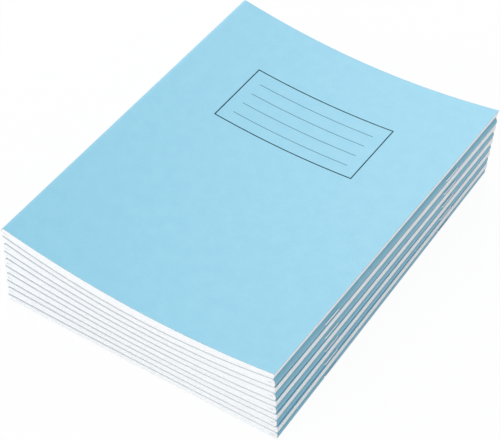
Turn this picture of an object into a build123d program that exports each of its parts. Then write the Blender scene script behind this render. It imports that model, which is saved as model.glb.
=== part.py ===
from build123d import *
import os
from dataclasses import dataclass
from math import atan, cos, sin, sqrt

# A stack of saddle-stitched exercise books, their spines lying left and right in turn.
# A fold never presses flat, so each spine is thicker than the rest of its book. Ten such
# spines, five on each side, lift both long sides of the stack and bow every book between.
# X runs from the top book's spine to its fore-edge, Y from tail to head, and Z is up.
# The origin is the middle of the bottom book's underside.

os.makedirs("parts", exist_ok=True)

# The stack
BOOKS = 10
BOOK_GAP = 0.15  # air between one book and the next
STACK_TWIST = 1.45  # degrees by which the bottom book is turned against the top one
STACK_DRIFT = 4.0  # how far the top book stands towards its head
JOG_ACROSS = 0.1  # the lower books stand this much to either side in turn

# One book
BOOK_WIDTH = 178.0  # spine to fore-edge
BOOK_LENGTH = 229.0  # tail to head
SHEETS = 16  # folded sheets, each of them two leaves
PAPER = 0.09
CARD = 0.2
LEAF_GAP = 0.006  # air between one leaf and the next
MIDDLE_AIR = 0.5  # opening between the two middle leaves, in the middle of the book
FORE_AIR = 0.63  # and at its fore-edge
TOP_AIR = 2.9  # more air in the middle of the top book, shared out between its front leaves
EYE_BOTTOM = 0.75  # air round the staple ends in the fold of the bottom book, pressed by the rest
EYE_TOP = 1.05  # and in the fold of the top book, which carries nothing
CREASE_GAP = 0.05  # half the slit between the cover halves of the book that opens

# Its two wire staples
WIRE = 0.6
WIRE_SIDES = 4  # the round wire is drawn with this many flats
WIRE_SEAT = 0.05  # air between the wire and the fold it holds
CROWN = 13.0  # outside length of the part that shows on the spine
CLINCH = 4.5  # length of each end that is folded over inside
STAPLE_SPACING = 124.0
LEG_CLEARANCE = 0.1  # air round each leg in the fold

# What follows from these
LEAF_PITCH = PAPER + LEAF_GAP
GATHERING = CARD + SHEETS * LEAF_PITCH  # from the cover's outside to the inside of the fold
MIDDLE_PITCH = 2 * GATHERING + MIDDLE_AIR + BOOK_GAP
FORE_PITCH = 2 * GATHERING + FORE_AIR + BOOK_GAP
CROWN_OFFSET = WIRE_SEAT + WIRE / 2  # middle of the crown, outside the spine
CLINCH_DEPTH = GATHERING + CROWN_OFFSET  # middle of the folded ends, inside the fold
LEG_SPACING = CROWN - WIRE
LEG_ROOM = WIRE / 2 + LEG_CLEARANCE
UPPER, LOWER = 1, -1
IN_LINE = 1e-6  # three points that span less area than this are in line


@dataclass
class Half:
    """One half of a book's section: a quarter of the fold, and the bowed leaves beside it.

    The section has its spine at -x and its fore-edge at +x. Its lines lie at a depth below
    the outside of the cover, so that lines of one depth run from half to half.
    """

    side: int
    spine: float
    middle: float
    fore: float
    apex: Vector

    def __post_init__(self):
        tilt = atan((3 * self.spine + self.fore - 4 * self.middle) / BOOK_WIDTH)
        self.outward = Vector(-cos(tilt), sin(tilt))
        self.normal = Vector(sin(tilt), cos(tilt)) * self.side
        self.radius = abs(self.spine - self.apex.Y) * cos(tilt)
        self.centre = self.apex - self.outward * self.radius

    def shoulder(self, depth):
        """Where the fold ends and the flat of the leaf begins."""
        return self.centre + self.normal * (self.radius - depth)

    def bend(self, depth):
        """Half way round the quarter fold."""
        return self.centre + (self.outward + self.normal).normalized() * (self.radius - depth)

    def crease(self, depth, outward, clearance):
        """Where the quarter fold meets the crease, or stops short of it by a clearance."""
        across = Vector(outward.Y, -outward.X)
        rise = self.side * clearance - (self.centre - self.apex).dot(across)
        run = sqrt((self.radius - depth) ** 2 - rise**2)
        return self.centre + outward * run + across * rise

    def belly(self, depth, sag=0):
        """The middle of the leaf, which can sag from the cover by some air."""
        return Vector(0, self.middle - self.side * (depth + sag))

    def edge(self, depth):
        """The fore-edge of the leaf."""
        return Vector(BOOK_WIDTH / 2, self.fore - self.side * depth)


@dataclass
class Book:
    """One book of the stack: its place, and the heights of its two outsides.

    The heights are at the spine, at the middle and at the fore-edge.
    """

    name: str
    plane: Plane
    under: tuple
    over: tuple

    def __post_init__(self):
        self.apex = Vector(-BOOK_WIDTH / 2, (self.under[0] + self.over[0]) / 2)
        self.halves = {
            UPPER: Half(UPPER, *self.over, self.apex),
            LOWER: Half(LOWER, *self.under, self.apex),
        }
        self.outward = (self.halves[UPPER].outward + self.halves[LOWER].outward).normalized()

    def crease(self, depth):
        """A point of the crease line, common to both halves."""
        both = [half.crease(depth, self.outward, 0) for half in self.halves.values()]
        return (both[0] + both[1]) / 2

    def staple_plane(self):
        """The plane of the staples: x along the spine, y out of it, origin on the crown."""
        crown = self.apex + self.outward * CROWN_OFFSET
        out = self.plane.x_dir * self.outward.X + self.plane.y_dir * self.outward.Y
        along = self.plane.z_dir
        return Plane(self.plane.from_local_coords(crown), x_dir=along, z_dir=along.cross(out))

    def leg_holes(self):
        """The places where the legs of both staples pass through the fold."""
        staples = self.staple_plane()
        spine = Plane(staples.origin, x_dir=staples.x_dir, z_dir=staples.y_dir)
        reach = STAPLE_SPACING / 2
        half = LEG_SPACING / 2
        return [
            spine.location * Location((place + leg, 0, 0))
            for place in (-reach, reach)
            for leg in (-half, half)
        ]

    def hole_depth(self):
        """From the crown to the middle of the fold, inside the innermost sheet."""
        return CROWN_OFFSET + self.halves[UPPER].radius


def bowed_line(start, middle, end):
    """A line of one curvature through three points, straight where they are in line."""
    if abs((middle - start).cross(end - start).Z) < IN_LINE:
        return Line(start, end)
    return ThreePointArc(start, middle, end)


def stack_books():
    """Lay the books on each other from the bottom up, and return them from the top down."""
    left, middle, right = 0.0, 0.0, 0.0
    books = []
    for level in range(BOOKS):
        height = level / (BOOKS - 1)
        eye = EYE_BOTTOM + (EYE_TOP - EYE_BOTTOM) * height
        spine_pitch = 2 * (CLINCH_DEPTH + eye) + BOOK_GAP
        spine_left = (BOOKS - level) % 2 == 1
        turn = 1 if spine_left else -1
        top_left = left + (spine_pitch if spine_left else FORE_PITCH)
        top_right = right + (FORE_PITCH if spine_left else spine_pitch)
        top_middle = middle + MIDDLE_PITCH + (TOP_AIR if level == BOOKS - 1 else 0)
        under = (left, middle, right)
        over = (top_left - BOOK_GAP, top_middle - BOOK_GAP, top_right - BOOK_GAP)
        place = (turn * JOG_ACROSS * (1 - height), STACK_DRIFT * height, 0)
        yaw = Location(place, (0, 0, STACK_TWIST * (1 - height) + (0 if spine_left else 180)))
        books.append(
            Book(
                f"book_{BOOKS - level:02d}",
                Plane(yaw * Plane.XZ.location),
                under if spine_left else under[::-1],
                over if spine_left else over[::-1],
            )
        )
        left, middle, right = top_left, top_middle, top_right
    return books[::-1]


def leaf_outline(book, side, depth, thickness, slit, sag=0):
    """The section of one leaf, from half a slit at the crease to its fore-edge."""
    half = book.halves[side]
    inner = depth + thickness
    outer_root = half.crease(depth, book.outward, slit)
    inner_root = half.crease(inner, book.outward, slit)
    with BuildLine() as outline:
        ThreePointArc(outer_root, half.bend(depth), half.shoulder(depth))
        bowed_line(half.shoulder(depth), half.belly(depth, sag), half.edge(depth))
        Line(half.edge(depth), half.edge(inner))
        bowed_line(half.edge(inner), half.belly(inner, sag), half.shoulder(inner))
        ThreePointArc(half.shoulder(inner), half.bend(inner), inner_root)
        Line(inner_root, outer_root)
    return outline.line


def folded_outline(book, depth, thickness):
    """The section of one folded layer, from fore-edge round the spine to fore-edge."""
    upper = book.halves[UPPER]
    lower = book.halves[LOWER]
    inner = depth + thickness
    with BuildLine() as outline:
        for level in (depth, inner):
            bowed_line(upper.edge(level), upper.belly(level), upper.shoulder(level))
            ThreePointArc(upper.shoulder(level), book.crease(level), lower.shoulder(level))
            bowed_line(lower.shoulder(level), lower.belly(level), lower.edge(level))
        Line(upper.edge(depth), upper.edge(inner))
        Line(lower.edge(depth), lower.edge(inner))
    return outline.line


def leaf_depth(number):
    """How deep a leaf lies under the outside of the cover; leaf 1 is next to the cover."""
    return CARD + LEAF_GAP + (number - 1) * LEAF_PITCH


def pierce(book):
    """Pierce what is being built where the staples go through the fold."""
    with Locations(*book.leg_holes()):
        Box(
            2 * LEG_ROOM,
            2 * LEG_ROOM,
            book.hole_depth(),
            align=(Align.CENTER, Align.CENTER, Align.MAX),
            mode=Mode.SUBTRACT,
        )


def make_cover_half(book, side):
    """Cut one half of a cover that opens, up to its slit at the crease."""
    with BuildPart() as cover:
        with BuildSketch(book.plane):
            make_face(leaf_outline(book, side, 0, CARD, CREASE_GAP))
        extrude(amount=BOOK_LENGTH / 2, both=True)
        pierce(book)
    return cover.part


def make_leaf(book, side, depth, thickness, sag=0):
    """Cut one leaf, or a block of leaves, which leaves the staple legs room at the crease."""
    with BuildPart() as leaf:
        with BuildSketch(book.plane):
            make_face(leaf_outline(book, side, depth, thickness, LEG_ROOM, sag))
        extrude(amount=BOOK_LENGTH / 2, both=True)
    return leaf.part


def make_folded(book, depth, thickness):
    """Fold and pierce one layer that goes round the spine."""
    with BuildPart() as folded:
        with BuildSketch(book.plane):
            make_face(folded_outline(book, depth, thickness))
        extrude(amount=BOOK_LENGTH / 2, both=True)
        pierce(book)
    return folded.part


def make_staples(book):
    """Bend the two staples: crown on the spine, legs through the fold, ends folded inwards."""
    foot = -(CROWN_OFFSET + CLINCH_DEPTH)
    leg = LEG_SPACING / 2
    tip = leg - CLINCH
    with BuildPart() as staples:
        for place in (-STAPLE_SPACING / 2, STAPLE_SPACING / 2):
            with BuildLine(book.staple_plane()) as wire:
                Polyline(
                    (place - tip, foot),
                    (place - leg, foot),
                    (place - leg, 0),
                    (place + leg, 0),
                    (place + leg, foot),
                    (place + tip, foot),
                )
            with BuildSketch(Plane(wire.line @ 0, z_dir=wire.line % 0)):
                RegularPolygon(WIRE / 2, WIRE_SIDES)
            sweep(path=wire.line, transition=Transition.RIGHT)
    return staples.part


def export_piece(piece, name):
    """Label a finished piece and write it."""
    piece.label = name
    export_step(piece, f"parts/{name}.step")


stack = stack_books()
top_book, *lower_books = stack

# The top book opens, so its cover and its sheets part at the crease.
export_piece(make_cover_half(top_book, UPPER), f"{top_book.name}_front_cover")
export_piece(make_cover_half(top_book, LOWER), f"{top_book.name}_back_cover")
for number in range(1, SHEETS + 1):
    sag = TOP_AIR * number / (SHEETS + 1)
    leaf = make_leaf(top_book, UPPER, leaf_depth(number), PAPER, sag)
    export_piece(leaf, f"{top_book.name}_leaf_{number:02d}")
back_leaves = make_leaf(top_book, LOWER, leaf_depth(1), GATHERING - leaf_depth(1))
export_piece(back_leaves, f"{top_book.name}_back_leaves")

# The other books are held shut by the ones above, so their gatherings stay whole.
for book in lower_books:
    export_piece(make_folded(book, 0, CARD), f"{book.name}_cover")
    sheets = make_folded(book, leaf_depth(1), GATHERING - leaf_depth(1))
    export_piece(sheets, f"{book.name}_sheets")

for book in stack:
    export_piece(make_staples(book), f"{book.name}_staples")
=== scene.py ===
"""Looks of a stack of ten saddle-stitched exercise books: card covers, folded sheets, wire staples.

Sizes are written in millimetres and turned into metres by MM. A book is drawn from its section, whose
lines lie at a depth below the outside of the cover. A line runs from the lower fore-edge, round the fold
at the spine, to the upper fore-edge. Every sheet of card or paper starts flat and is bent between two lines.
"""

import logging
from collections.abc import Mapping
from dataclasses import dataclass, field, replace
from enum import Enum
from itertools import pairwise
from math import atan, cos, pi, radians, sin
from random import Random

import bmesh
import bpy
from mathutils import Matrix, Vector


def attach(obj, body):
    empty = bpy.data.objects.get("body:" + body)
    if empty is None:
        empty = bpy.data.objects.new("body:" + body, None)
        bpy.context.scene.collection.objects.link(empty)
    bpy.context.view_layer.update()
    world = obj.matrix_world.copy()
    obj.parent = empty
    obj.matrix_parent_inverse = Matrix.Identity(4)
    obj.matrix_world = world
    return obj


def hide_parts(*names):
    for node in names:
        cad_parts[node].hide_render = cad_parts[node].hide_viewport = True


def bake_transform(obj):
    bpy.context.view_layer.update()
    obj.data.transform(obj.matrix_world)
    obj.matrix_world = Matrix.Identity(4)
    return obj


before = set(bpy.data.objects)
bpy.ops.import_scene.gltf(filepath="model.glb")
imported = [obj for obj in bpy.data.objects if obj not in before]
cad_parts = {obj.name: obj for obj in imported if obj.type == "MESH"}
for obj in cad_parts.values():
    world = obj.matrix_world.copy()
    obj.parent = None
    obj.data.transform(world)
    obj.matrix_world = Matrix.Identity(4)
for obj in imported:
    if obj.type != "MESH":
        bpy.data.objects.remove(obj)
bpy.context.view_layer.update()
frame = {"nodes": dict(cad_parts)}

LOG = logging.getLogger("exercise_books")
MM = 0.001
LOWER, UPPER = -1, 1
CREASE = 1.5  # the station at the middle of the fold
NIP = 0.02  # the share of a half book's width in which the eye inside the fold closes
SHEET_MAP = "sheet"  # the UV map that holds places on the flat sheet, in metres from its book's middle
SHARP_ANGLE = radians(40)
# A cover's steeper faces and its faces that look down take a darker blue, which is painted shade.
SKIN_RISE = 0.75  # a steeper face of a cover lies in its fold
INK_SPREAD = 0.05 * MM
CELLULOSE_IOR = 1.47

# Places of the finishes of card and paper among a piece's materials.
FACE_UP, OTHER_FACE, CUT_EDGE = 0, 1, 2

# Sockets of the colour mixing node, whose names aren't unique.
MIX_FACTOR, MIX_A, MIX_B, MIXED = 0, 6, 7, 2

Colour = tuple[float, float, float, float]
Heights = tuple[float, float, float]
Socket = bpy.types.NodeSocket
Tree = bpy.types.NodeTree


def linear(hex_colour: str) -> Colour:
    """Turn an sRGB hex colour into linear RGBA.

    Args:
        hex_colour: A hash sign and six hex digits.

    Returns:
        Red, green, blue and an alpha of one.
    """
    shares = [int(hex_colour[place : place + 2], 16) / 255 for place in (1, 3, 5)]
    red, green, blue = (
        share / 12.92 if share <= 0.04045 else ((share + 0.055) / 1.055) ** 2.4 for share in shares
    )
    return red, green, blue, 1.0


def add_node(
    tree: Tree, kind: str, inputs: Mapping[str | int, object] | None = None, **settings: object
) -> bpy.types.Node:
    """Add one shader node with its settings and links.

    Args:
        tree: The node tree that gets the node.
        kind: Blender's name of the node type.
        inputs: Values or output sockets for the node's inputs, by name or number.
        settings: Options of the node itself.

    Returns:
        The new node.
    """
    node = tree.nodes.new(kind)
    for option, value in settings.items():
        setattr(node, option, value)
    for name, value in (inputs or {}).items():
        if isinstance(value, bpy.types.NodeSocket):
            tree.links.new(value, node.inputs[name])
        else:
            node.inputs[name].default_value = value
    return node


def new_material(name: str) -> tuple[bpy.types.Material, Tree]:
    """Start a material with an empty node tree.

    Args:
        name: The material's name.

    Returns:
        The material and its tree.
    """
    material = bpy.data.materials.new(name)
    material.use_nodes = True
    material.node_tree.nodes.clear()
    return material, material.node_tree


@dataclass(frozen=True)
class Box:
    """A rectangle on the flat sheet."""

    centre: tuple[float, float]
    size: tuple[float, float]

    def outside(self, tree: Tree, place: Socket) -> Socket:
        """Measure how far a place lies outside the rectangle, or inside where it is negative.

        Args:
            tree: The material's node tree.
            place: The place on the flat sheet.

        Returns:
            The larger of the distances across and along the sheet.
        """
        half = (self.size[0] / 2, self.size[1] / 2, 0.0)
        moved = add_node(
            tree, "ShaderNodeVectorMath", {0: place, 1: (*self.centre, 0.0)}, operation="SUBTRACT"
        ).outputs[0]
        folded = add_node(tree, "ShaderNodeVectorMath", {0: moved}, operation="ABSOLUTE").outputs[0]
        beyond = add_node(
            tree, "ShaderNodeVectorMath", {0: folded, 1: half}, operation="SUBTRACT"
        ).outputs[0]
        split = add_node(tree, "ShaderNodeSeparateXYZ", {0: beyond})
        return add_node(
            tree, "ShaderNodeMath", {0: split.outputs[0], 1: split.outputs[1]}, operation="MAXIMUM"
        ).outputs[0]


@dataclass(frozen=True)
class Ruling:
    """A block of printed lines that run across the book, at one pitch along it."""

    centre: tuple[float, float]
    length: float
    lines: int
    pitch: float
    width: float

    def distance(self, tree: Tree, place: Socket) -> Socket:
        """Measure how far a place on the sheet lies from the nearest line.

        Args:
            tree: The material's node tree.
            place: The place on the flat sheet.

        Returns:
            The distance to the nearest line.
        """
        from_centre = add_node(
            tree, "ShaderNodeVectorMath", {0: place, 1: (*self.centre, 0.0)}, operation="SUBTRACT"
        ).outputs[0]
        split = add_node(tree, "ShaderNodeSeparateXYZ", {0: from_centre})
        # An even count of lines lies at half pitches from the centre, and an odd one at whole pitches.
        shift = self.pitch / 2 if self.lines % 2 == 0 else 0.0
        along = add_node(tree, "ShaderNodeMath", {0: split.outputs[1], 1: shift}, operation="ADD")
        nearest = add_node(
            tree,
            "ShaderNodeMath",
            {0: along.outputs[0], 1: self.pitch / 2, 2: -self.pitch / 2},
            operation="WRAP",
        )
        nearest = add_node(tree, "ShaderNodeMath", {0: nearest.outputs[0]}, operation="ABSOLUTE")
        block = Box(self.centre, (self.length, self.lines * self.pitch))
        return add_node(
            tree,
            "ShaderNodeMath",
            {0: nearest.outputs[0], 1: block.outside(tree, place)},
            operation="MAXIMUM",
        ).outputs[0]


def ink_line(tree: Tree, distance: Socket, width: float, strength: float) -> Socket:
    """Ink a line of some width wherever a distance is zero, with a soft edge.

    Args:
        tree: The material's node tree.
        distance: The distance from the middle of the line.
        width: The line's width.
        strength: How well the ink covers the sheet, up to one.

    Returns:
        The share of ink.
    """
    away = add_node(tree, "ShaderNodeMath", {0: distance}, operation="ABSOLUTE").outputs[0]
    return add_node(
        tree,
        "ShaderNodeMapRange",
        {
            "Value": away,
            "From Min": width / 2 - INK_SPREAD,
            "From Max": width / 2 + INK_SPREAD,
            "To Min": strength,
            "To Max": 0.0,
        },
        interpolation_type="SMOOTHSTEP",
    ).outputs[0]


def tooth_relief(tree: Tree, place: Socket, size: float, height: float, strength: float) -> Socket:
    """Raise the fine tooth that fibres give the skin of card and paper.

    Args:
        tree: The material's node tree.
        place: The place on the flat sheet.
        size: The size of one grain.
        height: How high the grains stand.
        strength: How much of the relief shows.

    Returns:
        The normal of the toothed surface.
    """
    tooth = add_node(
        tree, "ShaderNodeTexNoise", {"Vector": place, "Scale": 1 / size, "Detail": 2.0}
    ).outputs[0]
    return add_node(
        tree, "ShaderNodeBump", {"Height": tooth, "Distance": height, "Strength": strength}
    ).outputs[0]


@dataclass(frozen=True)
class NameBox:
    """The empty name box printed on a front cover: a frame round four writing lines."""

    frame: Box = Box(centre=(-2.6 * MM, 49.6 * MM), size=(92.9 * MM, 45.2 * MM))
    frame_width: float = 0.75 * MM
    lines: Ruling = Ruling(
        centre=(-2.7 * MM, 48.85 * MM), length=77.3 * MM, lines=4, pitch=9.13 * MM, width=0.45 * MM
    )
    colour: str = "#16363F"
    frame_cover: float = 0.97
    line_cover: float = 0.75

    def ink(self, tree: Tree, place: Socket) -> Socket:
        """Draw the print.

        Args:
            tree: The card's node tree.
            place: The place on the flat sheet.

        Returns:
            The share of ink.
        """
        border = ink_line(tree, self.frame.outside(tree, place), self.frame_width, self.frame_cover)
        lines = ink_line(tree, self.lines.distance(tree, place), self.lines.width, self.line_cover)
        return add_node(tree, "ShaderNodeMath", {0: border, 1: lines}, operation="MAXIMUM").outputs[0]


@dataclass(frozen=True)
class DyedCard:
    """Pale blue cover card: uncoated board, dyed in the pulp and calendered.

    The pulp settles in soft clouds and its fibres take the dye unevenly, so the blue is never quite
    flat. Calendering leaves a low sheen at a slant, which matt ink breaks, and a tooth too fine to
    show singly.
    """

    name: str
    name_box: NameBox | None = None
    blue: str = "#82C4DE"
    pale_blue: str = "#93D0E4"
    fibre_blue: str = "#BDE3EF"
    cloud_size: float = 9.0 * MM
    fibre_size: float = 0.8 * MM
    fibre_share: float = 0.25
    fleck_range: tuple[float, float] = (0.52, 0.85)  # the noise at which a pale fibre begins and is full
    tooth_size: float = 0.45 * MM  # drawn three times as coarse as the real one, to show at all
    tooth_height: float = 0.01 * MM
    tooth_strength: float = 0.6
    roughness: tuple[float, float] = (0.36, 0.46)
    sheen: float = 0.5

    def make(self) -> bpy.types.Material:
        """Mix the card's material.

        Returns:
            The material, printed if the card has a name box.
        """
        material, tree = new_material(self.name)
        place = add_node(tree, "ShaderNodeUVMap", uv_map=SHEET_MAP).outputs[0]
        clouds = add_node(
            tree,
            "ShaderNodeTexNoise",
            {"Vector": place, "Scale": 1 / self.cloud_size, "Detail": 5.0, "Roughness": 0.62},
        ).outputs[0]
        fibres = add_node(
            tree,
            "ShaderNodeTexNoise",
            {"Vector": place, "Scale": 1 / self.fibre_size, "Detail": 3.0, "Distortion": 1.5},
        ).outputs[0]
        colour = add_node(
            tree,
            "ShaderNodeMix",
            {MIX_FACTOR: clouds, MIX_A: linear(self.blue), MIX_B: linear(self.pale_blue)},
            data_type="RGBA",
        ).outputs[MIXED]
        flecks = add_node(
            tree,
            "ShaderNodeMapRange",
            {
                "Value": fibres,
                "From Min": self.fleck_range[0],
                "From Max": self.fleck_range[1],
                "To Max": self.fibre_share,
            },
        ).outputs[0]
        colour = add_node(
            tree,
            "ShaderNodeMix",
            {MIX_FACTOR: flecks, MIX_A: colour, MIX_B: linear(self.fibre_blue)},
            data_type="RGBA",
        ).outputs[MIXED]
        sheen: float | Socket = self.sheen
        if self.name_box:
            ink = self.name_box.ink(tree, place)
            colour = add_node(
                tree,
                "ShaderNodeMix",
                {MIX_FACTOR: ink, MIX_A: colour, MIX_B: linear(self.name_box.colour)},
                data_type="RGBA",
            ).outputs[MIXED]
            sheen = add_node(
                tree, "ShaderNodeMapRange", {"Value": ink, "To Min": self.sheen, "To Max": 0.0}
            ).outputs[0]
        gloss = add_node(
            tree,
            "ShaderNodeMapRange",
            {"Value": fibres, "To Min": self.roughness[0], "To Max": self.roughness[1]},
        ).outputs[0]
        relief = tooth_relief(tree, place, self.tooth_size, self.tooth_height, self.tooth_strength)
        shader = add_node(
            tree,
            "ShaderNodeBsdfPrincipled",
            {
                "Base Color": colour,
                "Roughness": gloss,
                "Normal": relief,
                "IOR": CELLULOSE_IOR,
                "Specular IOR Level": sheen,
            },
        ).outputs[0]
        add_node(tree, "ShaderNodeOutputMaterial", {"Surface": shader})
        return material


@dataclass(frozen=True)
class WritingPaper:
    """White writing paper, machine finished and feint ruled, with a margin line.

    The sheet is a cool white with a faint cloudy look-through. Its grey-blue lines stop short of head
    and tail, and a pink margin stands at the left of every page.
    """

    name: str
    margin: Box | None = None
    lines: Ruling | None = None
    white: str = "#F3F5F6"
    cloudy_white: str = "#ECEFF1"
    line_blue: str = "#8FB4CC"
    margin_pink: str = "#DE9AA6"
    cloud_size: float = 5.0 * MM
    tooth_size: float = 0.3 * MM
    tooth_height: float = 0.004 * MM
    tooth_strength: float = 0.5
    roughness: float = 0.72
    line_cover: float = 0.75

    def make(self) -> bpy.types.Material:
        """Mix the paper's material.

        Returns:
            The paper, ruled if it has lines and a margin.
        """
        material, tree = new_material(self.name)
        place = add_node(tree, "ShaderNodeUVMap", uv_map=SHEET_MAP).outputs[0]
        clouds = add_node(
            tree,
            "ShaderNodeTexNoise",
            {"Vector": place, "Scale": 1 / self.cloud_size, "Detail": 4.0},
        ).outputs[0]
        colour = add_node(
            tree,
            "ShaderNodeMix",
            {MIX_FACTOR: clouds, MIX_A: linear(self.cloudy_white), MIX_B: linear(self.white)},
            data_type="RGBA",
        ).outputs[MIXED]
        prints = []
        if self.lines and self.margin:
            prints.append((self.lines.distance(tree, place), self.lines.width, self.line_blue))
            prints.append((self.margin.outside(tree, place), self.lines.width, self.margin_pink))
        for distance, width, ink in prints:
            colour = add_node(
                tree,
                "ShaderNodeMix",
                {
                    MIX_FACTOR: ink_line(tree, distance, width, self.line_cover),
                    MIX_A: colour,
                    MIX_B: linear(ink),
                },
                data_type="RGBA",
            ).outputs[MIXED]
        relief = tooth_relief(tree, place, self.tooth_size, self.tooth_height, self.tooth_strength)
        shader = add_node(
            tree,
            "ShaderNodeBsdfPrincipled",
            {"Base Color": colour, "Roughness": self.roughness, "Normal": relief, "IOR": CELLULOSE_IOR},
        ).outputs[0]
        add_node(tree, "ShaderNodeOutputMaterial", {"Surface": shader})
        return material


@dataclass(frozen=True)
class GalvanisedWire:
    """Bright galvanised steel wire, drawn and then bent on the stitching head.

    Drawing leaves fine streaks and a soft grey gleam, a little duller where the zinc is thick.
    """

    name: str = "galvanised_staple_wire"
    steel: str = "#F2F4F5"
    dull_zinc: str = "#DFE3E6"
    patch_size: float = 1.2 * MM
    streak_size: float = 0.12 * MM
    streak_shrink: tuple[float, float, float] = (1.0, 0.08, 1.0)  # streaks run along the crown
    streak_height: float = 0.006 * MM
    roughness: tuple[float, float] = (0.22, 0.42)

    def make(self) -> bpy.types.Material:
        """Mix the wire's material.

        Returns:
            The metal.
        """
        material, tree = new_material(self.name)
        spot = add_node(tree, "ShaderNodeTexCoord").outputs["Object"]
        patches = add_node(
            tree, "ShaderNodeTexNoise", {"Vector": spot, "Scale": 1 / self.patch_size, "Detail": 3.0}
        ).outputs[0]
        drawn = add_node(tree, "ShaderNodeMapping", {"Vector": spot, "Scale": self.streak_shrink})
        streaks = add_node(
            tree,
            "ShaderNodeTexNoise",
            {"Vector": drawn.outputs[0], "Scale": 1 / self.streak_size, "Detail": 2.0},
        ).outputs[0]
        colour = add_node(
            tree,
            "ShaderNodeMix",
            {MIX_FACTOR: patches, MIX_A: linear(self.steel), MIX_B: linear(self.dull_zinc)},
            data_type="RGBA",
        ).outputs[MIXED]
        gloss = add_node(
            tree,
            "ShaderNodeMapRange",
            {"Value": patches, "To Min": self.roughness[0], "To Max": self.roughness[1]},
        ).outputs[0]
        relief = add_node(
            tree, "ShaderNodeBump", {"Height": streaks, "Distance": self.streak_height}
        ).outputs[0]
        shader = add_node(
            tree,
            "ShaderNodeBsdfPrincipled",
            {"Base Color": colour, "Roughness": gloss, "Normal": relief, "Metallic": 1.0},
        ).outputs[0]
        add_node(tree, "ShaderNodeOutputMaterial", {"Surface": shader})
        return material


@dataclass(frozen=True)
class BookSizes:
    """The sizes of one book: its trimmed format, its card and its gathering of folded sheets."""

    sheets: int = 16
    width: float = 178.0 * MM
    length: float = 229.0 * MM
    paper: float = 0.09 * MM
    card: float = 0.2 * MM
    leaf_gap: float = 0.006 * MM

    @property
    def leaf_pitch(self) -> float:
        """From one leaf to the next in the crease, where the staples press them."""
        return self.paper + self.leaf_gap

    @property
    def gathering(self) -> float:
        """From the outside of the cover to the inside of the innermost fold."""
        return self.card + self.sheets * self.leaf_pitch


@dataclass(frozen=True)
class Line:
    """One line of a book's section, by its depth under the outside of the cover.

    It has a depth of its own in the crease. Elsewhere its depth is a fixed part and a share of the room
    that its half of the book has for leaves.
    """

    crease: float
    fixed: float
    share: float


@dataclass(frozen=True)
class Layer:
    """One thickness of card or paper in a book, between two lines of the section.

    It may be cut back at its lower and upper fore-edge, and at tail and head.
    """

    outer: Line
    inner: Line
    cut_fore: tuple[float, float]
    cut_ends: tuple[float, float] = (0.0, 0.0)


class Stretch(Enum):
    """The part of a folded layer that a piece is cut from, as its first and last station."""

    WHOLE = (0.0, 3.0)
    LOWER_HALF = (0.0, CREASE)
    UPPER_HALF = (CREASE, 3.0)

    def stations(self, bow_steps: int, fold_steps: int) -> list[float]:
        """Divide the stretch.

        Args:
            bow_steps: Steps along each bowed half.
            fold_steps: Steps round the fold, an even number.

        Returns:
            The stations, from the lower to the upper end.
        """
        first, last = self.value
        flat = [NIP, *(step / bow_steps for step in range(1, bow_steps + 1))]
        fold = [1 + step / fold_steps for step in range(fold_steps + 1)]
        every = [*(1 - share for share in reversed(flat)), *fold, *(2 + share for share in flat)]
        return [station for station in every if first <= station <= last]


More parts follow.
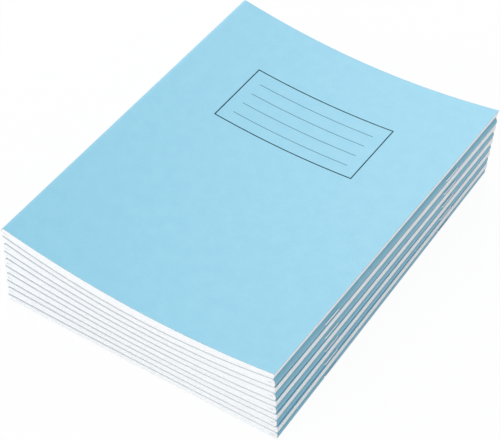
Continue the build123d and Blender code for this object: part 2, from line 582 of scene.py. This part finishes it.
@dataclass(frozen=True)
class Section:
    """The lines of one book's section: x runs from the spine to the fore-edge, z is up.

    The heights of the two outsides are given at the spine, at the middle and at the fore-edge. The fold
    is half a squared ellipse, as the staples press its sheets in the crease and the flats let them spread.
    """

    book: BookSizes
    under: Heights
    over: Heights
    reach: float  # from the outermost point of the spine to the middle of the fold
    eye: float  # half the height of the opening inside the fold, which the staple ends need
    squareness: tuple[float, float]  # of the fold below and above, where 2 is a plain ellipse

    def height(self, side: int, x: float) -> float:
        """Find the height of the upper or the lower outside.

        Args:
            side: The upper or the lower half.
            x: The place across the book.

        Returns:
            The height, on a parabola through the three that are given.
        """
        spine, middle, fore = self.over if side == UPPER else self.under
        across = 2 * x / self.book.width
        return middle + (fore - spine) / 2 * across + ((fore + spine) / 2 - middle) * across**2

    def slope(self, side: int, x: float) -> float:
        """How steeply an outside rises with x."""
        spine, middle, fore = self.over if side == UPPER else self.under
        return (fore - spine + 4 * (fore + spine - 2 * middle) * x / self.book.width) / self.book.width

    @property
    def apex(self) -> Vector:
        """The outermost point of the spine."""
        return Vector((-self.book.width / 2, 0.0, (self.under[0] + self.over[0]) / 2))

    @property
    def outward(self) -> Vector:
        """The direction in which the spine points."""
        tilts = [-atan(self.slope(side, self.apex.x)) for side in (LOWER, UPPER)]
        return sum((Vector((-cos(tilt), 0.0, sin(tilt))) for tilt in tilts), Vector()).normalized()

    @property
    def centre(self) -> Vector:
        """The middle of the fold, round which its ellipses lie."""
        return self.apex - self.outward * self.reach

    def depth(self, line: Line, x: float, opening: float) -> float:
        """Measure how deep a line lies.

        Args:
            line: The line.
            x: The place across the book.
            opening: Half the height that stays free between both halves.

        Returns:
            The depth, straight under the outside.
        """
        half = (self.height(UPPER, x) - self.height(LOWER, x)) / 2
        return line.fixed + line.share * (half - self.book.card - self.book.leaf_gap / 2 - opening)

    def shoulder(self, side: int, line: Line) -> Vector:
        """Find where a line's fold ends and its flat begins, straight across from the fold's middle.

        Args:
            side: The upper or the lower half.
            line: The line.

        Returns:
            The point in the section.
        """
        tilt = -atan(self.slope(side, self.apex.x))
        half = (self.over[0] - self.under[0]) / 2
        rise = half - self.depth(line, self.centre.x, self.eye)
        x = self.centre.x + side * rise * sin(tilt) * cos(tilt)
        return Vector((x, 0.0, self.height(side, x) - side * self.depth(line, x, self.eye)))

    def fold(self, share: float, line: Line) -> Vector:
        """Follow a line round the fold.

        Args:
            share: 0 at the lower shoulder, 1 at the upper one.
            line: The line.

        Returns:
            The point in the section.
        """
        angle = (share - 0.5) * pi
        squareness = self.squareness[angle > 0]
        out, up = (abs(part) ** (2 / squareness) for part in (cos(angle), sin(angle)))
        beside = self.shoulder(UPPER if angle > 0 else LOWER, line) - self.centre
        return self.centre + self.outward * (self.reach - line.crease) * out + beside * up

    def flat(self, side: int, share: float, line: Line, cut: float) -> Vector:
        """Follow the bowed flat of a line.

        Args:
            side: The upper or the lower half.
            share: 0 at the shoulder, 1 at the fore-edge.
            line: The line.
            cut: How far the line is cut back at the fore-edge.

        Returns:
            The point in the section.
        """
        start = self.shoulder(side, line).x
        x = start + (self.book.width / 2 - cut - start) * share
        opening = self.eye * max(0.0, 1 - share / NIP)
        return Vector((x, 0.0, self.height(side, x) - side * self.depth(line, x, opening)))

    def point(self, station: float, line: Line, cut_fore: tuple[float, float]) -> Vector:
        """Place one station of a line.

        Args:
            station: 0 at the lower fore-edge, 1 and 2 at the shoulders, 3 at the upper fore-edge.
            line: The line.
            cut_fore: How far it is cut back at the lower and at the upper fore-edge.

        Returns:
            The point in the section.
        """
        if station < 1:
            return self.flat(LOWER, 1 - station, line, cut_fore[0])
        if station > 2:
            return self.flat(UPPER, station - 2, line, cut_fore[1])
        return self.fold(station - 1, line)


@dataclass(frozen=True)
class Book:
    """One book of the stack: its name, its section and its place."""

    name: str
    section: Section
    placement: Matrix


@dataclass(frozen=True)
class Stack:
    """The rule by which the books lie on each other, spines left and right in turn.

    A fold never presses flat, so every spine lifts its side of the books above it.
    """

    book: BookSizes
    reach: float  # from the outside of a spine to the middle of the staple ends inside it
    books: int = 10
    gap: float = 0.15 * MM
    twist: float = radians(1.45)
    drift: float = 4.0 * MM
    jog_across: float = 0.1 * MM
    middle_air: float = 0.36 * MM
    fore_air: float = 0.63 * MM
    top_air: float = 3.1 * MM
    eye_bottom: float = 0.75 * MM
    eye_top: float = 1.05 * MM
    pressed_eye: float = 0.36 * MM  # what the spread sheets leave open of the eye
    square_left: tuple[float, float] = (3.2, 3.2)  # how square the folds are below and above
    square_right: tuple[float, float] = (2.8, 1.9)

    def lay(self) -> list[Book]:
        """Lay the books from the bottom up.

        Returns:
            The books from the top down.
        """
        left, middle, right = 0.0, 0.0, 0.0
        pressed = 2 * self.book.gathering + self.gap
        laid = []
        for level in range(self.books):
            height = level / (self.books - 1)
            eye = self.eye_bottom + (self.eye_top - self.eye_bottom) * height
            spine = 2 * (self.reach + eye) + self.gap
            fore = pressed + self.fore_air
            spine_left = (self.books - level) % 2 == 1
            turn = 1 if spine_left else -1
            under = (left, middle, right)
            left += spine if spine_left else fore
            middle += pressed + self.middle_air + (self.top_air if level == self.books - 1 else 0.0)
            right += fore if spine_left else spine
            over = (left - self.gap, middle - self.gap, right - self.gap)
            section = Section(
                self.book,
                under if spine_left else under[::-1],
                over if spine_left else over[::-1],
                self.reach,
                self.pressed_eye,
                self.square_left if spine_left else self.square_right,
            )
            place = Vector((turn * self.jog_across * (1 - height), self.drift * height, 0.0))
            yaw = self.twist * (1 - height) + (0.0 if spine_left else pi)
            placement = Matrix.Translation(place) @ Matrix.Rotation(yaw, 4, "Z")
            laid.append(Book(f"book_{self.books - level:02d}", section, placement))
        return laid[::-1]


def make_piece(
    mesh: bmesh.types.BMesh,
    name: str,
    finishes: tuple[bpy.types.Material, ...],
    replaced: tuple[str, ...],
) -> bpy.types.Object:
    """Turn a mesh into a finished piece that stands for nodes of the frame.

    Args:
        mesh: The mesh, in place. It is freed.
        name: The piece's name.
        finishes: The materials, in the order of the faces' numbers.
        replaced: The nodes that the piece stands for.

    Returns:
        The new object.
    """
    for face in mesh.faces:
        face.smooth = True
    for edge in mesh.edges:
        edge.smooth = len(edge.link_faces) == 2 and edge.calc_face_angle() < SHARP_ANGLE
    data = bpy.data.meshes.new(name)
    mesh.to_mesh(data)
    mesh.free()
    for finish in finishes:
        data.materials.append(finish)
    piece = bpy.data.objects.new(name, data)
    bpy.context.scene.collection.objects.link(piece)
    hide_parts(*replaced)
    LOG.info("%s: %d faces, for %s", name, len(data.polygons), ", ".join(replaced))
    return piece


@dataclass
class SheetWork:
    """Sheets of card or paper of one book, bent to its section and joined in one mesh.

    Faces that look up take the first finish, other faces the second and cut edges the third. On a
    sheet with one good side, only its outer face can take the first.
    """

    book: Book
    stretch: Stretch
    two_sided: bool
    bow_steps: int
    fold_steps: int
    mesh: bmesh.types.BMesh = field(default_factory=bmesh.new)

    def add(self, layer: Layer) -> None:
        """Bend one flat rectangle to its outer line and thicken it to its inner line.

        Args:
            layer: Where the sheet lies, and how it is cut.
        """
        mesh, section = self.mesh, self.book.section
        places = mesh.verts.layers.float_vector
        place = places.get(SHEET_MAP) or places.new(SHEET_MAP)
        stations = self.stretch.stations(self.bow_steps, self.fold_steps)
        outside, inside = (
            [section.point(station, line, layer.cut_fore) for station in stations]
            for line in (layer.outer, layer.inner)
        )
        flat = self._flattened(stations, outside)
        columns = len(stations) - 1
        tail = -section.book.length / 2 + layer.cut_ends[0]
        head = section.book.length / 2 - layer.cut_ends[1]
        for vert in bmesh.ops.create_grid(mesh, x_segments=columns, y_segments=1, size=0.5)["verts"]:
            column = round((vert.co.x + 0.5) * columns)
            along = tail if vert.co.y < 0 else head
            vert.co = (outside[column].x, along, outside[column].z)
            vert[place] = (flat[column], along, column)
        mesh.faces.ensure_lookup_table()
        mesh.normal_update()
        known = len(mesh.faces)
        outer = mesh.faces[known - columns :]
        bmesh.ops.solidify(mesh, geom=outer, thickness=section.book.paper)
        mesh.faces.ensure_lookup_table()
        inner, cut = mesh.faces[known : known + columns], mesh.faces[known + columns :]
        for vert in {vert for face in inner for vert in face.verts}:
            column = round(vert[place].z)
            vert.co = (inside[column].x, vert[place].y, inside[column].z)
        mesh.normal_update()
        # On card the second finish is a darker blue: painted shade on the spine and on faces that look down
        # or in.
        for face in outer:
            face.material_index = FACE_UP if face.normal.z > SKIN_RISE else OTHER_FACE
        for face in inner:
            face.material_index = FACE_UP if self.two_sided and face.normal.z > 0 else OTHER_FACE
        for face in cut:
            face.material_index = CUT_EDGE

    def _flattened(self, stations: list[float], points: list[Vector]) -> list[float]:
        """Lay a bent sheet flat again, from the fore-edge of each half to the crease.

        Args:
            stations: The sheet's stations.
            points: Their points in the section.

        Returns:
            How far each station lies from the middle of the flat page.
        """
        flat = []
        for index, station in enumerate(stations):
            is_lower = station < CREASE or self.stretch is Stretch.LOWER_HALF
            way = points[: index + 1] if is_lower else points[index:]
            edge = points[0].x if is_lower else points[-1].x
            flat.append(edge - sum((far - near).length for near, far in pairwise(way)))
        return flat

    def dress(
        self, name: str, slot: str, finishes: tuple[bpy.types.Material, ...], *replaced: str
    ) -> bpy.types.Object:
        """Map the sheets, put them in place and finish the piece.

        Args:
            name: The piece's name.
            slot: Not used.
            finishes: The finish of faces that look up, of other faces and of cut edges.
            replaced: The nodes that the piece stands for.

        Returns:
            The new object.
        """
        mesh = self.mesh
        place = mesh.verts.layers.float_vector[SHEET_MAP]
        sheet_map = mesh.loops.layers.uv.new(SHEET_MAP)
        for face in mesh.faces:
            for loop in face.loops:
                loop[sheet_map].uv = loop.vert[place].xy
        mesh.verts.layers.float_vector.remove(place)
        bmesh.ops.transform(mesh, matrix=self.book.placement, verts=mesh.verts)
        return make_piece(mesh, name, finishes, replaced)


@dataclass(frozen=True)
class StaplePair:
    """The two wire staples of one book: crowns outside on the spine, ends folded over inside."""

    wire: float = 0.6 * MM
    seat: float = 0.05 * MM
    crown: float = 13.0 * MM
    clinch: float = 4.5 * MM
    spacing: float = 124.0 * MM
    bend: float = 0.45 * MM
    sides: int = 12
    bend_steps: int = 4

    @property
    def crown_offset(self) -> float:
        """From the spine to the middle of the crown's wire."""
        return self.seat + self.wire / 2

    def build(self, book: Book) -> bmesh.types.BMesh:
        """Bend both staples and drive them through a book's spine.

        Args:
            book: The book that they hold.

        Returns:
            The mesh, in place.
        """
        section = book.section
        depth = section.reach + self.crown_offset
        along, outward = Vector((0.0, 1.0, 0.0)), section.outward
        turned = Matrix((along, outward, along.cross(outward))).transposed().to_4x4()
        crown = section.apex + outward * self.crown_offset
        mesh = bmesh.new()
        for shift in (-self.spacing / 2, self.spacing / 2):
            driven = book.placement @ Matrix.Translation(crown + along * shift) @ turned
            known = len(mesh.verts)
            self._bend_wire(mesh, depth)
            mesh.verts.ensure_lookup_table()
            bmesh.ops.transform(mesh, matrix=driven, verts=mesh.verts[known:])
        bmesh.ops.holes_fill(mesh, edges=mesh.edges, sides=self.sides)
        bmesh.ops.recalc_face_normals(mesh, faces=mesh.faces)
        return mesh

    def _bend_wire(self, mesh: bmesh.types.BMesh, depth: float) -> None:
        """Draw one staple's wire from tip to tip, with its crown along x and its legs down y.

        Args:
            mesh: The mesh that gets the wire.
            depth: From the crown to the folded ends, on the wire's middle line.
        """
        legs = self.crown - self.wire
        leg, end = depth - 2 * self.bend, self.clinch - self.bend
        at, heading = Vector((self.clinch - legs / 2, -depth, 0.0)), Vector((-1.0, 0.0, 0.0))
        cut = Matrix.Translation(at) @ Matrix.Rotation(pi / 2, 4, "Y")
        ring = bmesh.ops.create_circle(mesh, segments=self.sides, radius=self.wire / 2, matrix=cut)["verts"]
        edges = list(dict.fromkeys(edge for vert in ring for edge in vert.link_edges))
        for index, run in enumerate((end, leg, legs - 2 * self.bend, leg, end)):
            if index:
                side = Vector((heading.y, -heading.x, 0.0))
                bent = bmesh.ops.spin(
                    mesh,
                    geom=edges,
                    cent=at + side * self.bend,
                    axis=(0.0, 0.0, -1.0),
                    angle=pi / 2,
                    steps=self.bend_steps,
                )["geom_last"]
                edges = [item for item in bent if isinstance(item, bmesh.types.BMEdge)]
                at, heading = at + (heading + side) * self.bend, side
            drawn = bmesh.ops.extrude_edge_only(mesh, edges=edges)["geom"]
            ring = [item for item in drawn if isinstance(item, bmesh.types.BMVert)]
            edges = [item for item in drawn if isinstance(item, bmesh.types.BMEdge)]
            bmesh.ops.translate(mesh, vec=heading * run, verts=ring)
            at = at + heading * run


@dataclass(frozen=True)
class Finishes:
    """The materials of a book. Card and paper have one for faces up, other faces and cut edges."""

    card: tuple[bpy.types.Material, ...]
    paper: tuple[bpy.types.Material, ...]
    wire: tuple[bpy.types.Material, ...]


@dataclass
class BoundBook:
    """A book that stays shut: a folded card cover, a gathering of folded sheets and two staples.

    Each leaf is drawn as thick as its share of the shut book, with the air that it holds.
    """

    book: Book
    staples: StaplePair
    finishes: Finishes
    bow_steps: int = 14
    fold_steps: int = 8
    uneven_across: float = 0.03 * MM
    uneven_along: float = 0.05 * MM
    # How far the lowest leaf stands back from the highest at the fore-edge, or the other way where negative.
    lean: float = -0.1 * MM
    trim: float = 0.75 * MM  # how far the cover stands back from its sheets at tail and head
    cover: Layer = field(init=False)
    sheets: list[Layer] = field(init=False)

    def __post_init__(self) -> None:
        """Lay out the cover and the sheets, which the knife has left a little uneven."""
        section, chance = self.book.section, Random(self.book.name)
        sizes = section.book
        self.cover = Layer(
            Line(0.0, 0.0, 0.0),
            Line(sizes.card, sizes.card, 0.0),
            (self._stand_back(1.0), self._stand_back(0.0)),
            (self.trim, self.trim),
        )
        self.sheets = []
        for number in range(sizes.sheets):
            crease = sizes.card + number * sizes.leaf_pitch
            outer = Line(crease + sizes.leaf_gap, sizes.card + sizes.leaf_gap, number / sizes.sheets)
            inner = Line(crease + sizes.leaf_pitch, sizes.card, (number + 1) / sizes.sheets)
            deep = number / sizes.sheets / 2
            fore = (
                self._stand_back(1 - deep) + chance.uniform(0.0, self.uneven_across),
                self._stand_back(deep) + chance.uniform(0.0, self.uneven_across),
            )
            ends = (chance.uniform(0.0, self.uneven_along), chance.uniform(0.0, self.uneven_along))
            self.sheets.append(Layer(outer, inner, fore, ends))

    def build(self) -> None:
        """Make the cover, the sheets and the staples, which all ride on the book."""
        name = self.book.name
        cover = self._work(Stretch.WHOLE, two_sided=False)
        cover.add(self.cover)
        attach(cover.dress(f"{name}_card_cover", "cover_card", self.finishes.card, f"{name}_cover"), name)
        sheets = self._work(Stretch.WHOLE, two_sided=True)
        for layer in self.sheets:
            sheets.add(layer)
        piece = sheets.dress(f"{name}_folded_sheets", "paper", self.finishes.paper, f"{name}_sheets")
        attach(piece, name)
        self._make_staples()

    def _stand_back(self, depth: float) -> float:
        """How far a leaf stands back at the fore-edge, by its share of the depth under the top."""
        return self.lean * depth if self.lean > 0 else -self.lean * (1 - depth)

    def _work(self, stretch: Stretch, two_sided: bool) -> SheetWork:
        """Start a piece of this book's card or paper."""
        return SheetWork(self.book, stretch, two_sided, self.bow_steps, self.fold_steps)

    def _make_staples(self) -> None:
        """Make the two staples, which ride on the book."""
        name = self.book.name
        mesh = self.staples.build(self.book)
        nodes = (f"{name}_staples",)
        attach(make_piece(mesh, f"{name}_wire_staples", self.finishes.wire, nodes), name)


@dataclass
class OpeningBook(BoundBook):
    """The book on top, whose front cover and front leaves are made as pieces of their own."""

    bow_steps: int = 16
    fold_steps: int = 16
    lean: float = 0.7 * MM

    def build(self) -> None:
        """Make both cover halves, every front leaf, the back leaves and the staples."""
        name = self.book.name
        front = replace(self.cover, cut_ends=(0.0, 0.0))
        self._make_turning(front, "cover_front", "front_cover", is_cover=True)
        for number, layer in enumerate(self.sheets, start=1):
            self._make_turning(layer, f"ruled_leaf_{number:02d}", f"leaf_{number:02d}", is_cover=False)
        back = self._work(Stretch.LOWER_HALF, two_sided=False)
        back.add(self.cover)
        piece = back.dress(f"{name}_cover_back", "cover_card", self.finishes.card, f"{name}_back_cover")
        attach(piece, name)
        leaves = self._work(Stretch.LOWER_HALF, two_sided=True)
        for layer in self.sheets:
            leaves.add(layer)
        piece = leaves.dress(f"{name}_ruled_back", "paper", self.finishes.paper, f"{name}_back_leaves")
        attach(piece, name)
        self._make_staples()

    def _make_turning(self, layer: Layer, name: str, body: str, is_cover: bool) -> None:
        """Make one upper half of card or paper as a piece of its own, fixed in place.

        Args:
            layer: The layer that it is cut from.
            name: The piece's name, after the book's.
            body: The name of the node that it stands for, after the book's name.
            is_cover: Whether it is card, and not paper.
        """
        half = self._work(Stretch.UPPER_HALF, two_sided=not is_cover)
        half.add(layer)
        slot, finishes = ("cover_card", self.finishes.card) if is_cover else ("paper", self.finishes.paper)
        piece = half.dress(f"{self.book.name}_{name}", slot, finishes, f"{self.book.name}_{body}")
        section = self.book.section
        start = self.book.placement @ section.fold(0.5, layer.outer)
        end = self.book.placement @ section.shoulder(UPPER, layer.outer)
        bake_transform(piece)


@dataclass(frozen=True)
class Lamp:
    """A square soft box that looks at the middle of the stack."""

    name: str
    towards: tuple[float, float, float]
    distance: float
    size: float
    power: float

    def hang(self, target: Vector) -> None:
        """Hang the lamp.

        Args:
            target: The point that it looks at.
        """
        light = bpy.data.lights.new(self.name, type="AREA")
        light.size = self.size
        light.energy = self.power
        lamp = bpy.data.objects.new(self.name, light)
        direction = Vector(self.towards).normalized()
        turned = direction.to_track_quat("Z", "Y").to_matrix().to_4x4()
        lamp.matrix_world = Matrix.Translation(target + direction * self.distance) @ turned
        bpy.context.scene.collection.objects.link(lamp)


@dataclass(frozen=True)
class Studio:
    """A white studio: pale floor, soft lamps, an even sky and the camera of the picture."""

    target: tuple[float, float, float] = (-5.47 * MM, 3.57 * MM, 5.65 * MM)
    azimuth: float = radians(35.567)
    elevation: float = radians(47.109)
    roll: float = radians(-1.2416)
    distance: float = 983.54 * MM
    lens: float = 123.03
    sensor: float = 36.0
    floor_size: float = 6.0
    floor_drop: float = 0.05 * MM
    floor_white: str = "#F4F5F6"
    floor_lift: float = 0.95
    sky: str = "#FBFCFF"
    sky_light: float = 0.55
    lit_point: tuple[float, float, float] = (0.0, 0.0, 30.0 * MM)
    lamps: tuple[Lamp, ...] = (
        Lamp("key_box", (-0.02, -0.80, 0.58), 1.6, 1.0, 10.6),
        Lamp("side_box", (0.92, 0.05, 0.38), 1.6, 0.9, 2.2),
        Lamp("sheen_box", (-0.48, 0.66, 0.56), 1.2, 0.8, 6.3),
    )

    def build(self) -> None:
        """Set up floor, lamps, sky and camera."""
        self._lay_floor()
        for lamp in self.lamps:
            lamp.hang(Vector(self.lit_point))
        self._light_sky()
        self._set_camera()
        bpy.context.scene.view_settings.view_transform = "Standard"

    def _seen(self, tree: Tree) -> Socket:
        """Tell rays that show a surface from rays that light one.

        Args:
            tree: The node tree.

        Returns:
            One for camera, glossy and transmission rays, and else zero.
        """
        path = add_node(tree, "ShaderNodeLightPath").outputs
        mirrored = add_node(
            tree,
            "ShaderNodeMath",
            {0: path["Is Camera Ray"], 1: path["Is Glossy Ray"]},
            operation="MAXIMUM",
        ).outputs[0]
        return add_node(
            tree, "ShaderNodeMath", {0: mirrored, 1: path["Is Transmission Ray"]}, operation="MAXIMUM"
        ).outputs[0]

    def _lay_floor(self) -> None:
        """Lay a matt white sweep that is lifted towards white but keeps the stack's shadow."""
        material, tree = new_material("matt_white_sweep")
        paint = add_node(tree, "ShaderNodeBsdfDiffuse", {"Color": linear(self.floor_white)}).outputs[0]
        glow = add_node(tree, "ShaderNodeEmission").outputs[0]
        lift = add_node(
            tree, "ShaderNodeMath", {0: self._seen(tree), 1: self.floor_lift}, operation="MULTIPLY"
        ).outputs[0]
        shader = add_node(tree, "ShaderNodeMixShader", {0: lift, 1: paint, 2: glow}).outputs[0]
        add_node(tree, "ShaderNodeOutputMaterial", {"Surface": shader})
        mesh = bmesh.new()
        under = Matrix.Translation((0.0, 0.0, -self.floor_drop))
        bmesh.ops.create_grid(mesh, x_segments=1, y_segments=1, size=self.floor_size / 2, matrix=under)
        data = bpy.data.meshes.new("studio_floor")
        mesh.to_mesh(data)
        mesh.free()
        data.materials.append(material)
        floor = bpy.data.objects.new("studio_floor", data)
        bpy.context.scene.collection.objects.link(floor)

    def _light_sky(self) -> None:
        """Light the stack evenly from all round, with white behind it."""
        world = bpy.data.worlds.new("white_studio")
        world.use_nodes = True
        tree = world.node_tree
        tree.nodes.clear()
        light = add_node(
            tree, "ShaderNodeBackground", {"Color": linear(self.sky), "Strength": self.sky_light}
        ).outputs[0]
        white = add_node(tree, "ShaderNodeBackground", {"Color": (1.0, 1.0, 1.0, 1.0)}).outputs[0]
        shader = add_node(tree, "ShaderNodeMixShader", {0: self._seen(tree), 1: light, 2: white}).outputs[0]
        add_node(tree, "ShaderNodeOutputWorld", {"Surface": shader})
        bpy.context.scene.world = world

    def _set_camera(self) -> None:
        """Stand the camera where the picture was taken from."""
        turn, rise = self.azimuth, self.elevation
        back = Vector((sin(turn) * cos(rise), -cos(turn) * cos(rise), sin(rise)))
        level = Vector((cos(turn), sin(turn), 0.0))
        upright = back.cross(level)
        right = level * cos(self.roll) + upright * sin(self.roll)
        up = upright * cos(self.roll) - level * sin(self.roll)
        data = bpy.data.cameras.new("camera")
        data.sensor_fit = "HORIZONTAL"
        data.sensor_width = self.sensor
        data.lens = self.lens
        camera = bpy.data.objects.new("camera", data)
        camera.matrix_world = (
            Matrix.Translation(Vector(self.target) + back * self.distance)
            @ Matrix((right, up, back)).transposed().to_4x4()
        )
        bpy.context.scene.collection.objects.link(camera)
        bpy.context.scene.camera = camera


def make_finishes(sizes: BookSizes, margin: float = 25.0 * MM, clear: float = 4.0 * MM) -> Finishes:
    """Make the finishes that all books share.

    Args:
        sizes: The sizes of a book.
        margin: From the left edge of a page to its margin line.
        clear: From the end of the margin line to tail or head.

    Returns:
        The finishes.
    """
    # The lines are longer than a page is wide, so that each runs out at both edges.
    lines = Ruling(
        centre=(0.0, -1.5 * MM), length=sizes.width * 1.1, lines=25, pitch=8.0 * MM, width=0.25 * MM
    )
    stand = sizes.width / 2 - margin
    tall = (0.0, sizes.length - 2 * clear)
    card = (
        DyedCard("printed_cover_card", NameBox()).make(),
        # The spine, the faces that look down and the inside take a deeper, duller blue: painted shade, since
        # these faces turn away from the lamps.
        DyedCard("card_painted_shade", blue="#74B0C8", pale_blue="#84BCD0", fibre_blue="#A9CFDC").make(),
        # The card's cut edges are grey-teal: partly the rough edge of the dyed card, partly painted shade of
        # the gaps between the books.
        DyedCard("card_edge_and_gap_shade", blue="#768483", pale_blue="#889695", fibre_blue="#A3AFAE").make(),
    )
    paper = (
        WritingPaper("ruled_paper_front", Box((-stand, 0.0), tall), lines).make(),
        WritingPaper("ruled_paper_back", Box((stand, 0.0), tall), lines).make(),
        # The paper's cut edges are a whiter copy of its white: painted light that brightens the fore-edges
        # and the tail.
        WritingPaper("paper_edge_painted_light", white="#FAFBFB", cloudy_white="#F4F6F7").make(),
    )
    return Finishes(card, paper, (GalvanisedWire().make(),))


def main() -> None:
    """Build the studio and the ten books."""
    logging.basicConfig(level=logging.INFO, format="%(message)s")
    Studio().build()
    sizes, staples = BookSizes(), StaplePair()
    finishes = make_finishes(sizes)
    top, *lower = Stack(sizes, sizes.gathering + staples.crown_offset).lay()
    OpeningBook(top, staples, finishes).build()
    for book in lower:
        BoundBook(book, staples, finishes).build()


if __name__ == "__main__":
    main()
